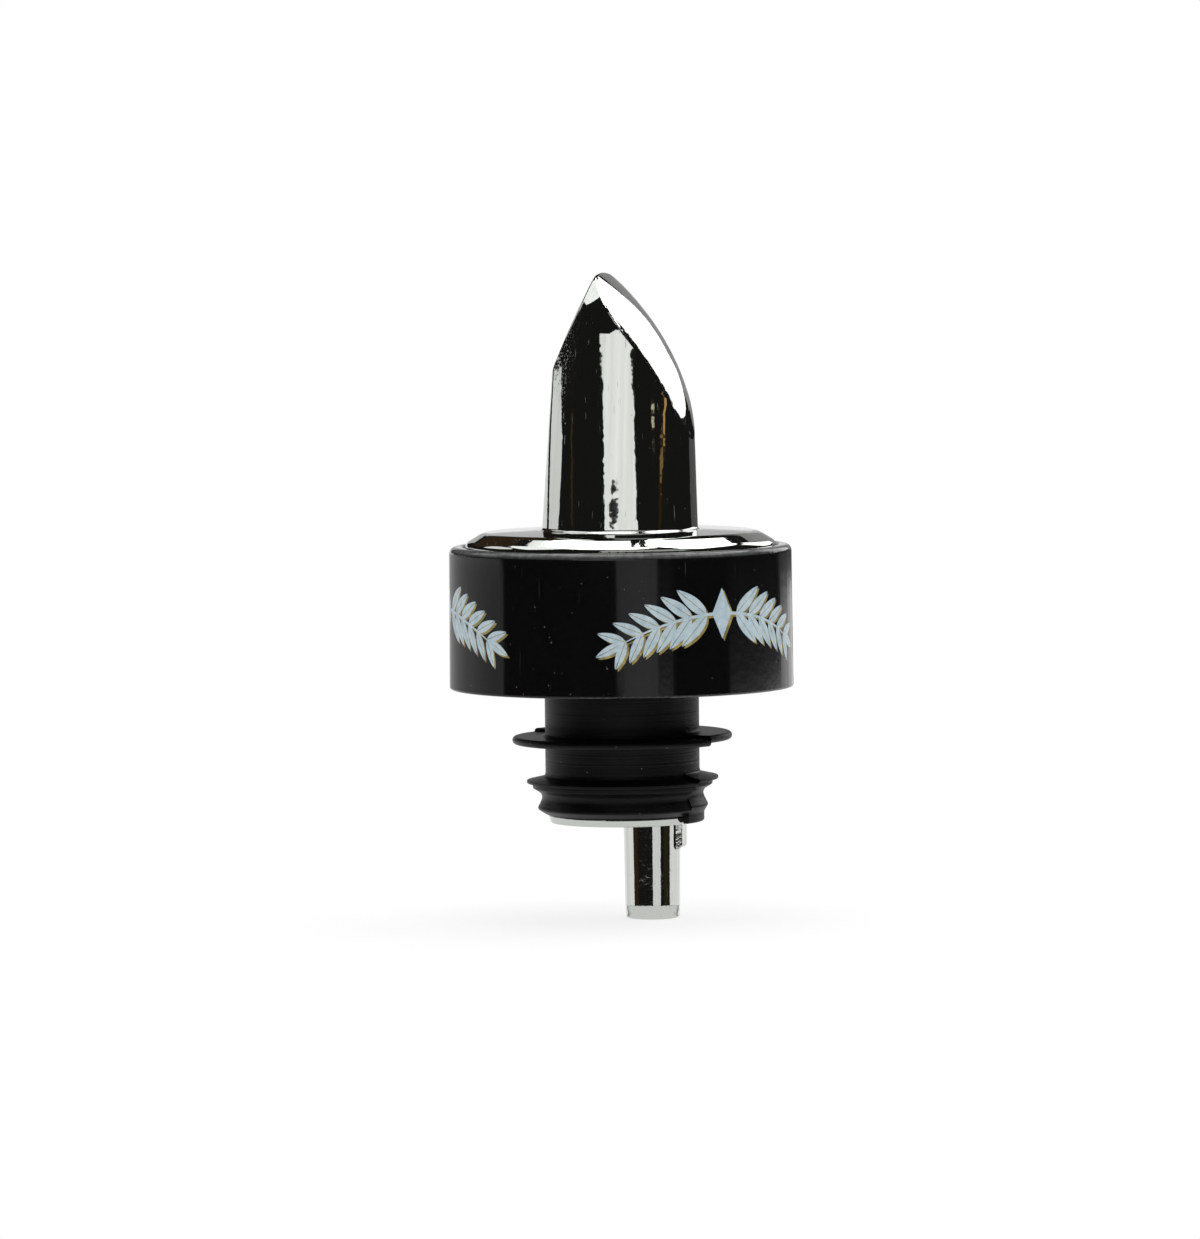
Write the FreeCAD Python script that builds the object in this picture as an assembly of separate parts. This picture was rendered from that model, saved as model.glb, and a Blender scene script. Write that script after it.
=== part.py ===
import FreeCAD, Part
import math
import os
from FreeCAD import Vector

# Measured liquor pourer: a spout with a three-ball portion valve inside, on a rubber bottle stopper.
# Millimetres. The Z axis is the common axis of stopper, collar and spout, and Z = 0 is the plane of the
# bottle's lip, where the collar and the stopper's head end. The mouth looks towards -X and the breather
# tube hangs at +X.

# Collar
collar_r = 19.0
collar_taper = 0.1           # how much narrower the ring is at its top
collar_wall = 1.6
collar_height = 15.75
collar_top_round = 1.0
collar_foot_round = 0.25
collar_slack = 0.25          # radial play on the cap's skirt, which lets the ring turn and lean a little
collar_lip_depth = 1.45      # the lip reaches in under the skirt and keeps the ring on
collar_lip_thickness = 1.2
collar_lip_play = 0.1

# Spout cap
flange_rise = 1.75           # how far the flange's crown stands above the collar's top
flange_thickness = 2.0
flange_crown = 0.25
flange_slope_width = 1.9     # the broad slope round the flange's edge, which catches the light
flange_slope_drop = 1.15
flange_slope_round = 2.0
flange_edge_round = 0.9
skirt_wall = 1.2
sleeve_wall = 1.35
sleeve_step = 1.6            # the sleeve's shoulder above the spigot
rib_count = 8
rib_thickness = 1.0
rib_depth = 3.0
spout_lean = 1.5             # degrees that the spout leans back, away from its mouth
spout_foot_r = 8.62
spout_foot_round = 0.3
spout_sink = 0.6             # how far the spout's cone runs down into the flange
spout_narrowing = 1.07       # from the foot to the round end
dome_height = 21.4           # centre of the spout's round end above the flange
spout_wall = 1.5
tip_wall = 1.1               # the wall thins towards the round end and behind the back face
chamber_sink = 1.0           # how far the chamber's cone runs down into the bore
spout_bore_r = 7.0
ridge_angle = 19.7           # degrees from the round end's top to the ridge
ridge_depth = 0.06           # the ridge, before its edge is rounded, lies this far inside the round end
mouth_foot_drop = 2.17       # foot of the mouth's face below the round end's centre; it runs on straight
mouth_foot_depth = 0.92      # inside the round spout
mouth_bow_r = 118.0          # the face is domed: this along its slope
mouth_cross_r = 18.2         # and this across it
back_foot_drop = 9.5
back_foot_depth = 0.31
back_bow_r = 29.9
back_cross_r = 22.9
face_run_below = 30.0
face_run_above = 8.0
crease_round = 0.35          # rounds the ridge and the creases round both faces

# Stopper
head_thickness = 1.6
head_round = 0.3
soft_gap = 0.3               # rubber to the turning collar
neck_r = 8.53
neck_round = 0.5
fin_r = 12.15
fin_z = -5.72
fin_thickness = 0.85
fin_root_round = 0.5
lip_fin_r = 10.59
lip_fin_z = -10.2
lip_fin_thickness = 0.3
lip_fin_slope = 0.45
step_r = 9.95
step_drop = 0.55
groove_r = 8.7
groove_z = -11.8
groove_round = 1.3
rim_r = 9.46
rim_z = -13.35
foot_r = 8.5
foot_z = -13.95
parting_angle = -21.6        # the mould's parting line, counted from +X
mould_shift = 0.35           # the two mould halves closed this much out of line
stretch_fit = 0.02

# Inlet stem
disc_r = 8.25
disc_thickness = 0.95
disc_draft = 0.22            # how much narrower the disc is at its lower face
disc_round = 0.2
core_wall = 0.8
deck_thickness = 1.6
spigot_r = 8.5
spigot_wall = 1.5
spigot_height = 6.2
bead_height = 0.22
bead_width = 0.9
bead_below_top = 0.7
bulkhead_z = -6.0
bulkhead_thickness = 2.2
socket_depth = 1.4
window_inset = 0.1
window_from = 105.0
window_to = 255.0
window_rib = 1.2
breather_x = 3.3
breather_r = 3.15
breather_neck_r = 3.03       # at the shoulder where the tube's end begins to draw in
breather_end_r = 2.93
breather_end_length = 1.5
breather_shoulder_round = 2.0
breather_bore_r = 2.3
breather_length = 10.6
breather_end_round = 0.25
gusset_reach = 0.55
gusset_width = 2.0
gusset_length = 3.2
septum_clear = 0.3

# Ball measure
ball_r = 3.0
ball_play = 0.07
ball_gap = 0.05
race_wall = 0.6
race_top_height = 9.4        # above the flange
race_window_count = 4
race_window_width = 2.4
race_window_length = 6.0
race_window_below_top = 2.4
plug_flange = 0.8
plug_spigot = 1.0
orifice_r = 0.6
orifice_x = -1.5
socket_fit = 0.03
seat_thickness = 1.0
seat_hole_r = 2.2
seat_round = 0.12
seat_stop_gap = 0.06
plate_skirt = 0.8            # how far the outlet plate reaches down round the race
plate_web = 0.6
outlet_hole_r = 2.4
vent_r = 0.9
vent_bore_r = 0.6
vent_rise = 2.5
vent_side_wall = 0.4
vent_core_clear = 0.06

# Ring seals
seal_width = 1.0
seal_depth = 0.65
seal_side_gap = 0.1
seal_fit = 0.01
seal_round = 0.25
spigot_seal_z = 2.6          # above the deck
bore_fit = 0.05

# Small roundings of moulded edges and corners, and how far cutting shapes run past what they cut
edge_break = 0.2
corner_round = 0.5
overrun = 1.0
rooting = 0.3                # ribs and webs start this far inside the wall they stand on

# Levels and sizes that follow
flange_z = collar_height + flange_rise
flange_edge_z = flange_z - flange_crown
deck_z = head_thickness + deck_thickness
collar_bore_r = collar_r - collar_wall
flange_r = collar_bore_r - collar_slack
flange_slope_z = flange_edge_z - flange_slope_drop
collar_lip_r = flange_r - collar_lip_depth
deck_r = collar_lip_r - soft_gap
head_r = collar_bore_r - soft_gap
sleeve_bore_r = spigot_r + bore_fit
sleeve_r = sleeve_bore_r + sleeve_wall
dome_r = spout_foot_r - spout_narrowing
dome_z = flange_z + dome_height
ridge_x = -(dome_r - ridge_depth) * math.sin(math.radians(ridge_angle))
ridge_z = dome_z + (dome_r - ridge_depth) * math.cos(math.radians(ridge_angle))
disc_z = foot_z - disc_thickness
race_bore_r = ball_r + ball_play
race_r = race_bore_r + race_wall
socket_r = race_r + socket_fit
plug_z = bulkhead_z - socket_depth
race_z = plug_z + plug_flange
race_floor_z = race_z + plug_spigot
race_top_z = flange_z + race_top_height
seat_top_z = race_top_z + seat_thickness
plate_top_z = seat_top_z + plate_web
plate_z = race_top_z - plate_skirt
plate_r = spout_bore_r - bore_fit
vent_hole_r = vent_r + stretch_fit
vent_x = socket_r + vent_side_wall + vent_hole_r
core_bore_r = vent_x + vent_hole_r + vent_core_clear
core_r = core_bore_r + core_wall
vent_top_z = plate_top_z + vent_rise
spigot_bore_r = spigot_r - spigot_wall
spigot_top_z = deck_z + spigot_height
bead_high = spigot_top_z - bead_below_top
bead_mid = bead_high - bead_width / 2
bead_low = bead_high - bead_width
septum_left = breather_x - breather_r
septum_right = breather_x - breather_bore_r

# The balls stand on one another with a hair's gap; the first one stops just short of the seat's edge
ball_pitch = 2 * ball_r + ball_gap
tail_ball_z = race_floor_z + ball_r + ball_gap
middle_ball_z = tail_ball_z + ball_pitch
shutoff_ball_z = middle_ball_z + ball_pitch
shutoff_stop_z = race_top_z - math.sqrt(ball_r ** 2 - seat_hole_r ** 2) - seat_stop_gap
ball_travel = shutoff_stop_z - shutoff_ball_z

axis_z = Vector(0, 0, 1)
origin = Vector(0, 0, 0)


def rounded_edges(corners):
    """Edges of a closed outline in the XZ plane through (x, z) or (x, z, rounding) corners."""
    count = len(corners)
    points = [Vector(c[0], 0, c[1]) for c in corners]
    joins = []
    for i, here in enumerate(points):
        rounding = corners[i][2] if len(corners[i]) > 2 else 0
        to_last = points[i - 1] - here
        to_next = points[(i + 1) % count] - here
        half = to_last.getAngle(to_next) / 2
        rounding = min(rounding, 0.48 * min(to_last.Length, to_next.Length) * math.tan(half))
        if rounding < 1e-6:
            joins.append((here, None, here))
            continue
        to_last.normalize()
        to_next.normalize()
        inward = to_last + to_next
        inward.normalize()
        reach = rounding / math.tan(half)
        middle = here + inward * (rounding / math.sin(half) - rounding)
        joins.append((here + to_last * reach, middle, here + to_next * reach))
    edges = []
    for i, (start, middle, end) in enumerate(joins):
        if middle is not None:
            edges.append(Part.Arc(start, middle, end).toShape())
        following = joins[(i + 1) % count][0]
        if (following - end).Length > 1e-6:
            edges.append(Part.LineSegment(end, following).toShape())
    return edges


def turned(corners, start=0.0, sweep=360.0):
    """Solid of revolution about Z of a rounded outline, from one angle through a sweep."""
    face = Part.Face(Part.Wire(rounded_edges(corners)))
    face.rotate(origin, axis_z, start)
    return face.revolve(origin, axis_z, sweep)


def rod(radius, bottom, top, x=0.0):
    return Part.makeCylinder(radius, top - bottom, Vector(x, 0, bottom))


def block(x0, x1, y0, y1, z0, z1):
    return Part.makeBox(x1 - x0, y1 - y0, z1 - z0, Vector(x0, y0, z0))


def draft(base_r, base_z, round_r):
    """Angle of the wall that leaves the base and meets the round end without a kink."""
    rise = dome_z - base_z
    return math.atan2(base_r, rise) - math.asin(round_r / math.hypot(base_r, rise))


def bullet(base_r, base_z, round_r):
    """Cone from a base radius that runs smoothly into the spout's round end."""
    lean = draft(base_r, base_z, round_r)
    tangent = Vector(round_r * math.cos(lean), 0, dome_z + round_r * math.sin(lean))
    bow = (math.pi / 2 + lean) / 2
    on_arc = Vector(round_r * math.cos(bow), 0, dome_z + round_r * math.sin(bow))
    tip = Vector(0, 0, dome_z + round_r)
    base = Vector(base_r, 0, base_z)
    foot = Vector(0, 0, base_z)
    outline = [
        Part.LineSegment(foot, base).toShape(),
        Part.LineSegment(base, tangent).toShape(),
        Part.Arc(tangent, on_arc, tip).toShape(),
        Part.LineSegment(tip, foot).toShape(),
    ]
    return Part.Face(Part.Wire(outline)).revolve(origin, axis_z, 360)


def spout_radius(z):
    lean = draft(spout_foot_r, flange_z, dome_r)
    return spout_foot_r - (z - flange_z) * math.tan(lean)


def face_keep(side, foot_drop, foot_depth, bow_r, cross_r, inset=0.0):
    """Barrel whose side is one domed face, and which runs on straight past both its ends."""
    foot_z = dome_z - foot_drop
    foot = Vector(side * (spout_radius(foot_z) - foot_depth), 0, foot_z)
    ridge = Vector(ridge_x, 0, ridge_z)
    half = (ridge - foot).Length / 2
    slope = (ridge - foot).normalize()
    inward = Vector(slope.z, 0, -slope.x) * -side
    centre = (foot + ridge) * 0.5 + inward * math.sqrt(bow_r ** 2 - half ** 2)
    axis = centre - inward * (bow_r - cross_r)
    to_foot = (foot - centre).normalize()
    to_ridge = (ridge - centre).normalize()
    arc_r = bow_r - inset
    arc_foot = centre + to_foot * arc_r
    arc_ridge = centre + to_ridge * arc_r
    below = Vector(to_foot.z, 0, -to_foot.x) * side
    above = Vector(to_ridge.z, 0, -to_ridge.x) * -side
    low = arc_foot + below * face_run_below
    high = arc_ridge + above * face_run_above
    low_axis = axis + slope * (low - axis).dot(slope)
    high_axis = axis + slope * (high - axis).dot(slope)
    outline = [
        Part.LineSegment(low_axis, low).toShape(),
        Part.LineSegment(low, arc_foot).toShape(),
        Part.Arc(arc_foot, centre - inward * arc_r, arc_ridge).toShape(),
        Part.LineSegment(arc_ridge, high).toShape(),
        Part.LineSegment(high, high_axis).toShape(),
        Part.LineSegment(high_axis, low_axis).toShape(),
    ]
    section = Part.Face(Part.Wire(outline))
    section.rotate(axis, slope, 180)
    return section.revolve(axis, slope, 360)


def mouth_keep():
    return face_keep(-1, mouth_foot_drop, mouth_foot_depth, mouth_bow_r, mouth_cross_r)


def back_keep(inset=0.0):
    return face_keep(1, back_foot_drop, back_foot_depth, back_bow_r, back_cross_r, inset)


def leaning(shape):
    """The spout is drawn upright and then leant back about the middle of its foot."""
    shape.rotate(Vector(0, 0, flange_z), Vector(0, 1, 0), spout_lean)
    return shape


def crease_edges(solid):
    """The ridge between the two faces, and the creases where they cut the round spout."""
    found = []
    for edge in solid.Edges:
        box = edge.BoundBox
        foot = box.ZMin < flange_z + overrun
        seam = box.YLength < 0.01
        smooth = isinstance(edge.Curve, Part.Circle)
        if not (foot or seam or smooth):
            found.append(edge)
    return found


def spout_outside():
    base_z = flange_z - spout_sink
    solid = bullet(spout_radius(base_z), base_z, dome_r)
    solid = solid.common(mouth_keep()).common(back_keep())
    return leaning(solid.makeFillet(crease_round, crease_edges(solid)))


def cap_shell():
    """Flange, skirt and inner sleeve, as one turned piece with the hollow left open downwards."""
    shoulder_z = spigot_top_z + sleeve_step
    underside = flange_edge_z - flange_thickness
    inner_r = spout_bore_r + sleeve_wall
    corners = [
        (spout_bore_r, flange_z),
        (spout_bore_r, spigot_top_z),
        (sleeve_bore_r, spigot_top_z),
        (sleeve_bore_r, bead_high),
        (sleeve_bore_r + bead_height, bead_mid),
        (sleeve_bore_r, bead_low),
        (sleeve_bore_r, deck_z),
        (sleeve_r, deck_z, edge_break),
        (sleeve_r, shoulder_z - (sleeve_r - inner_r)),
        (inner_r, shoulder_z),
        (inner_r, underside, corner_round),
        (flange_r - skirt_wall, underside, corner_round),
        (flange_r - skirt_wall, deck_z),
        (flange_r, deck_z, 0.3),
        (flange_r, flange_slope_z, flange_edge_round),
        (flange_r - flange_slope_width, flange_edge_z, flange_slope_round),
        (spout_foot_r + 2 * spout_foot_round, flange_z),
    ]
    return turned(corners)


def cap_ribs():
    underside = flange_edge_z - flange_thickness
    low = underside - rib_depth
    inner_r = spout_bore_r + sleeve_wall
    reach = block(inner_r - rooting, flange_r - skirt_wall + rooting,
                  -rib_thickness / 2, rib_thickness / 2, low, underside + rooting)
    return [turn(reach, 360.0 * (i + 0.5) / rib_count) for i in range(rib_count)]


def turn(shape, angle):
    copy = shape.copy()
    copy.rotate(origin, axis_z, angle)
    return copy


def spout_hollow():
    """Chamber above the outlet plate: the spout's own shape, one wall smaller, but open at the mouth's face."""
    base_z = plate_top_z - chamber_sink
    chamber = bullet(spout_radius(base_z) - spout_wall, base_z, dome_r - tip_wall)
    chamber = leaning(chamber.common(back_keep(tip_wall)))
    bore = rod(spout_bore_r, flange_z - flange_thickness - rib_depth, plate_top_z)
    return chamber.fuse(bore)


def foot_edges(solid):
    """The ring where the spout stands on the flange."""
    found = []
    for edge in solid.Edges:
        box = edge.BoundBox
        level = box.ZLength < 0.01 and abs(box.ZMin - flange_z) < 0.01
        if level and abs(box.YMax - spout_foot_r) < spout_foot_round / 2:
            found.append(edge)
    return found


def make_spout_cap():
    solid = cap_shell().fuse([spout_outside()] + cap_ribs()).removeSplitter()
    solid = solid.makeFillet(spout_foot_round, foot_edges(solid))
    solid = solid.cut(spout_hollow())
    return solid.removeSplitter()


def make_collar():
    lip_z = head_thickness + collar_lip_play
    lip_top = lip_z + collar_lip_thickness
    return turned([
        (collar_bore_r, 0),
        (collar_r, 0, collar_foot_round),
        (collar_r - collar_taper, collar_height, collar_top_round),
        (collar_bore_r, collar_height, 0.3),
        (collar_bore_r, lip_top),
        (collar_lip_r, lip_top),
        (collar_lip_r, lip_z),
        (collar_bore_r, lip_z),
    ])


def stopper_outline(shift, drop):
    """Half section of the stopper; one mould half sits a little higher and laps down over the disc's edge."""
    bore_r = core_r + stretch_fit
    fin_mid = fin_z + shift
    half_fin = fin_thickness / 2
    lip_mid = lip_fin_z + shift
    lip_low = lip_mid - lip_fin_thickness
    lap_r = disc_r + stretch_fit
    corners = [
        (bore_r, head_thickness),
        (head_r, head_thickness, head_round),
        (head_r, 0, head_round),
        (neck_r, 0, neck_round),
        (neck_r, fin_mid + half_fin, fin_root_round),
        (fin_r, fin_mid + half_fin, half_fin),
        (fin_r, fin_mid - half_fin, half_fin),
        (neck_r, fin_mid - half_fin, fin_root_round),
        (neck_r, lip_mid + lip_fin_slope, fin_root_round),
        (lip_fin_r, lip_mid, 0.08),
        (lip_fin_r, lip_low, 0.08),
        (step_r, lip_low, 0.1),
        (step_r, lip_low - step_drop, edge_break),
        (groove_r, groove_z + shift, groove_round),
        (rim_r, rim_z + shift, 0.25),
    ]
    if drop:
        corners += [
            (rim_r - 0.45, rim_z + shift - 0.75, edge_break),
            (rim_r - 0.45, disc_z + 0.1, edge_break),
            (lap_r, disc_z + 0.1),
            (lap_r, foot_z),
        ]
    else:
        corners += [(foot_r, foot_z, 0.15)]
    corners += [(bore_r, foot_z)]
    return corners


def make_stopper():
    front = turned(stopper_outline(0.0, False), parting_angle, -180)
    back = turned(stopper_outline(mould_shift, True), parting_angle, 180)
    return front.fuse(back)


def stem_shell():
    """Disc, core tube, deck and spigot as one turned piece, with the seal's groove and the snap bead."""
    seal_low = deck_z + spigot_seal_z
    seal_high = seal_low + seal_width + 2 * seal_side_gap
    return turned([
        (0, disc_z),
        (disc_r - disc_draft, disc_z, disc_round),
        (disc_r, foot_z, disc_round),
        (core_r, foot_z),
        (core_r, head_thickness),
        (deck_r, head_thickness, edge_break),
        (deck_r, deck_z, edge_break),
        (spigot_r, deck_z),
        (spigot_r, seal_low),
        (spigot_r - seal_depth, seal_low),
        (spigot_r - seal_depth, seal_high),
        (spigot_r, seal_high),
        (spigot_r, bead_low + bore_fit),
        (spigot_r + bead_height - bore_fit, bead_mid),
        (spigot_r, bead_high - bore_fit),
        (spigot_r, spigot_top_z - bore_fit, edge_break),
        (spigot_bore_r, spigot_top_z - bore_fit, edge_break),
        (spigot_bore_r, deck_z),
        (core_bore_r, deck_z),
        (core_bore_r, bulkhead_z),
        (0, bulkhead_z),
    ])


def half_bore(x0, x1, bottom, top):
    """The part of the core's bore between two X planes."""
    wide = block(x0, x1, -core_bore_r, core_bore_r, bottom, top)
    return rod(core_bore_r, bottom, top).common(wide)


def bulkhead_windows():
    """Curved slots on the liquid side, round the race's socket, with a rib between them."""
    bottom = bulkhead_z - bulkhead_thickness
    inner = socket_r + vent_side_wall
    outer = core_bore_r - window_inset
    sweep = window_to - window_from
    low = bottom - overrun / 2
    high = bulkhead_z + overrun / 2
    section = [(inner, low), (outer, low), (outer, high), (inner, high)]
    slot = turned(section, window_from, sweep)
    rib = block(-core_r, 0, -window_rib / 2, window_rib / 2, bottom - overrun, bulkhead_z + overrun)
    return slot.cut(rib)


def breather_tube():
    end_z = disc_z - breather_length
    tube = turned([
        (0, end_z),
        (breather_end_r, end_z, breather_end_round),
        (breather_neck_r, end_z + breather_end_length, breather_shoulder_round),
        (breather_r, disc_z),
        (breather_r, foot_z),
        (0, foot_z),
    ])
    tube.translate(Vector(breather_x, 0, 0))
    return tube


def gusset():
    """Small web from the disc down the breather tube's outer side."""
    inside = breather_x + breather_r - 0.6
    outside = breather_x + breather_r + gusset_reach
    low = disc_z - gusset_length
    web = Part.Face(Part.Wire(rounded_edges([
        (inside, disc_z + rooting),
        (outside, disc_z + rooting),
        (outside, low + gusset_reach, corner_round),
        (inside, low),
    ])))
    web.translate(Vector(0, -gusset_width / 2, 0))
    return web.extrude(Vector(0, gusset_width, 0))


def make_inlet_stem():
    chamber_top = bulkhead_z - bulkhead_thickness
    solid = stem_shell().fuse([breather_tube(), gusset()])
    intake = half_bore(-core_r, septum_left - septum_clear, disc_z - overrun, foot_z)
    liquid_side = half_bore(-core_r, septum_left, foot_z, chamber_top)
    air_side = half_bore(septum_right, core_r, foot_z, chamber_top)
    breather_bore = rod(breather_bore_r, disc_z - breather_length - overrun, foot_z + overrun / 2, breather_x)
    race_socket = rod(socket_r, plug_z, bulkhead_z + overrun)
    orifice_way = rod(2 * orifice_r, chamber_top - overrun, plug_z, orifice_x)
    vent_socket = rod(vent_hole_r, plug_z, bulkhead_z + overrun, vent_x)
    vent_way = rod(vent_bore_r, chamber_top - overrun, plug_z, vent_x)
    for tool in (intake, liquid_side, air_side, breather_bore, race_socket, orifice_way,
                 vent_socket, vent_way, bulkhead_windows()):
        solid = solid.cut(tool)
    return solid.removeSplitter()


def make_ball_race():
    tube = rod(race_r, race_z, race_top_z).cut(rod(race_bore_r, race_z - overrun, race_top_z + overrun))
    high = race_top_z - race_window_below_top
    low = high - race_window_length
    half = race_window_width / 2
    slot = block(0, race_r + overrun, -half, half, low + half, high - half)
    for z in (low + half, high - half):
        slot = slot.fuse(Part.makeCylinder(half, race_r + overrun, Vector(0, 0, z), Vector(1, 0, 0)))
    for i in range(race_window_count):
        tube = tube.cut(turn(slot, 360.0 * (i + 0.5) / race_window_count))
    return tube


def make_metering_plug():
    plug = turned([
        (0, plug_z),
        (race_r, plug_z),
        (race_r, race_z),
        (race_bore_r - socket_fit, race_z),
        (race_bore_r - socket_fit, race_floor_z, edge_break),
        (0, race_floor_z),
    ])
    return plug.cut(rod(orifice_r, plug_z - overrun, race_floor_z + overrun, orifice_x))


def make_outlet_plate():
    groove_low = outlet_seal_z()
    groove_high = groove_low + seal_width + 2 * seal_side_gap
    plate = turned([
        (socket_r, plate_z),
        (plate_r, plate_z, edge_break),
        (plate_r, groove_low),
        (plate_r - seal_depth, groove_low),
        (plate_r - seal_depth, groove_high),
        (plate_r, groove_high),
        (plate_r, plate_top_z),
        (outlet_hole_r, plate_top_z, edge_break),
        (outlet_hole_r, seat_top_z),
        (socket_r, seat_top_z),
    ])
    return plate.cut(rod(vent_hole_r, plate_z - overrun, plate_top_z + overrun, vent_x))


def outlet_seal_z():
    return (plate_z + plate_top_z - seal_width) / 2 - seal_side_gap


def make_valve_seat():
    return turned([
        (seat_hole_r, race_top_z),
        (race_r, race_top_z, seat_round),
        (race_r, seat_top_z, seat_round),
        (seat_hole_r, seat_top_z, seat_round),
    ])


def ring_seal(groove_r, bore_r, bottom):
    return turned([
        (groove_r + seal_fit, bottom, seal_round),
        (bore_r - seal_fit, bottom, seal_round),
        (bore_r - seal_fit, bottom + seal_width, seal_round),
        (groove_r + seal_fit, bottom + seal_width, seal_round),
    ])


def make_vent_tube():
    return rod(vent_r, plug_z, vent_top_z, vent_x).cut(rod(vent_bore_r, plug_z - overrun, vent_top_z + overrun, vent_x))


def make_ball(z):
    return Part.makeSphere(ball_r, Vector(0, 0, z))


def build():
    spigot_seal_low = deck_z + spigot_seal_z + seal_side_gap
    outlet_seal_low = outlet_seal_z() + seal_side_gap
    return {
        "spout_cap": make_spout_cap(),
        "collar": make_collar(),
        "stopper": make_stopper(),
        "inlet_stem": make_inlet_stem(),
        "ball_race": make_ball_race(),
        "metering_plug": make_metering_plug(),
        "outlet_plate": make_outlet_plate(),
        "valve_seat": make_valve_seat(),
        "vent_tube": make_vent_tube(),
        "spigot_seal": ring_seal(spigot_r - seal_depth, sleeve_bore_r, spigot_seal_low),
        "outlet_seal": ring_seal(plate_r - seal_depth, spout_bore_r, outlet_seal_low),
        "shutoff_ball": make_ball(shutoff_ball_z),
        "middle_ball": make_ball(middle_ball_z),
        "tail_ball": make_ball(tail_ball_z),
    }


os.makedirs("parts", exist_ok=True)
for name, shape in build().items():
    shape.exportStep("parts/" + name + ".step")
    box = shape.BoundBox
    print(name, len(shape.Solids), shape.isValid(), round(shape.Volume, 1),
          "z", round(box.ZMin, 2), round(box.ZMax, 2), "x", round(box.XMin, 2), round(box.XMax, 2))
print("ball travel", round(ball_travel, 3), "balls at", tail_ball_z, middle_ball_z, shutoff_ball_z)
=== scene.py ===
# %% [markdown]
# # A measured liquor pourer, dressed for its portrait
#
# The solids of the pourer come from a CAD model: a chromed spout cap, a gloss black collar ring, a rubber
# stopper, a chromed inlet stem, and a three-ball measure hidden inside. This lesson gives them their
# finishes, adds the collar's print, and sets up a small product studio round them.
#
# Two things carry the picture. The chrome shows nothing of its own and only mirrors the room, so the room
# has to be built with care. And the black parts are told apart by their sheen alone: gloss, satin and matt.

# %% Load the solids
import bpy
import math
from mathutils import Matrix, Vector


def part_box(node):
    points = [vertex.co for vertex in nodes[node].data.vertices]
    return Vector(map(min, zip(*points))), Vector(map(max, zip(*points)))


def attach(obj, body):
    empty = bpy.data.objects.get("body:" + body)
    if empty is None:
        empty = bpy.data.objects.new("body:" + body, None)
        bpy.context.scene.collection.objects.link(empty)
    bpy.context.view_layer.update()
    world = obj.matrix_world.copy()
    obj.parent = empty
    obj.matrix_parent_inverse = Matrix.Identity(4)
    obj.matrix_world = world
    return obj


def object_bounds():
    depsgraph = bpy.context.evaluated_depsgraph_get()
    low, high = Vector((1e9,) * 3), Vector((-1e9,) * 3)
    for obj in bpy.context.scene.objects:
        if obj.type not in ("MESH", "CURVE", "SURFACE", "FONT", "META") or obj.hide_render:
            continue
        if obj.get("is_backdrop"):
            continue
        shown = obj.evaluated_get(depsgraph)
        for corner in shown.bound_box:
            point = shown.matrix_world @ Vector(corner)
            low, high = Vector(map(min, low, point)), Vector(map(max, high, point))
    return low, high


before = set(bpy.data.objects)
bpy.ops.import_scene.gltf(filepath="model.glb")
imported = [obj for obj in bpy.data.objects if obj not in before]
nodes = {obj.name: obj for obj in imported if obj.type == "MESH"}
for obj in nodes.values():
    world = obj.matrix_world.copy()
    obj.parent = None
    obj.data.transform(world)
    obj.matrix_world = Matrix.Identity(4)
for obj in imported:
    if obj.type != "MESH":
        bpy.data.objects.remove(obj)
bpy.context.view_layer.update()
MM = 0.001
MICRON = 0.000001

for name in sorted(nodes):
    low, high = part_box(name)
    wide, deep, tall = (high - low) / MM
    print(f"{name}: {wide:.1f} x {deep:.1f} x {tall:.1f} mm")

# %% [markdown]
# ## Helpers for materials
#
# Colours are written the way a paint chart gives them, as hex values in sRGB, and one function turns them
# into the linear values that Cycles reckons with. A second function adds a node, sets its values and joins
# its inputs, so that a material reads as a short recipe. A third starts a material, with its coordinates in
# millimetres, so that every pattern can be given its real size.


# %% Colour and node helpers
def colour(hex_value):
    """sRGB hex such as "#C9CCCF" as linear RGBA."""
    channels = [int(hex_value[i:i + 2], 16) / 255 for i in (1, 3, 5)]
    linear = [c / 12.92 if c <= 0.04045 else ((c + 0.055) / 1.055) ** 2.4 for c in channels]
    return (*linear, 1.0)


def add(tree, kind, inputs=None, **settings):
    """Adds a node. Inputs go by name or number: a constant, an output, or a node for its first output."""
    node = tree.nodes.new(kind)
    for key, value in settings.items():
        setattr(node, key, value)
    for key, value in (inputs or {}).items():
        if isinstance(value, bpy.types.Node):
            value = value.outputs[0]
        if isinstance(value, bpy.types.NodeSocket):
            tree.links.new(value, node.inputs[key])
        else:
            node.inputs[key].default_value = value
    return node


def start(name, **shader):
    """A new material with its Principled shader set, and its object coordinates in millimetres."""
    material = bpy.data.materials.new(name)
    material.use_nodes = True
    tree = material.node_tree
    principled = tree.nodes["Principled BSDF"]
    for key, value in shader.items():
        principled.inputs[key.replace("_", " ")].default_value = value
    place = add(tree, "ShaderNodeTexCoord").outputs["Object"]
    mm = add(tree, "ShaderNodeVectorMath", {0: place, 1: (1 / MM, 1 / MM, 1 / MM)}, operation="MULTIPLY")
    return material, tree, principled, mm


def two_tones(tree, shader, amount, first, second):
    """The base colour goes from the first tone to the second as the amount goes from 0 to 1."""
    tone = add(tree, "ShaderNodeMix", {0: amount, 6: colour(first), 7: colour(second)}, data_type="RGBA")
    tree.links.new(tone.outputs[2], shader.inputs["Base Color"])


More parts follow.
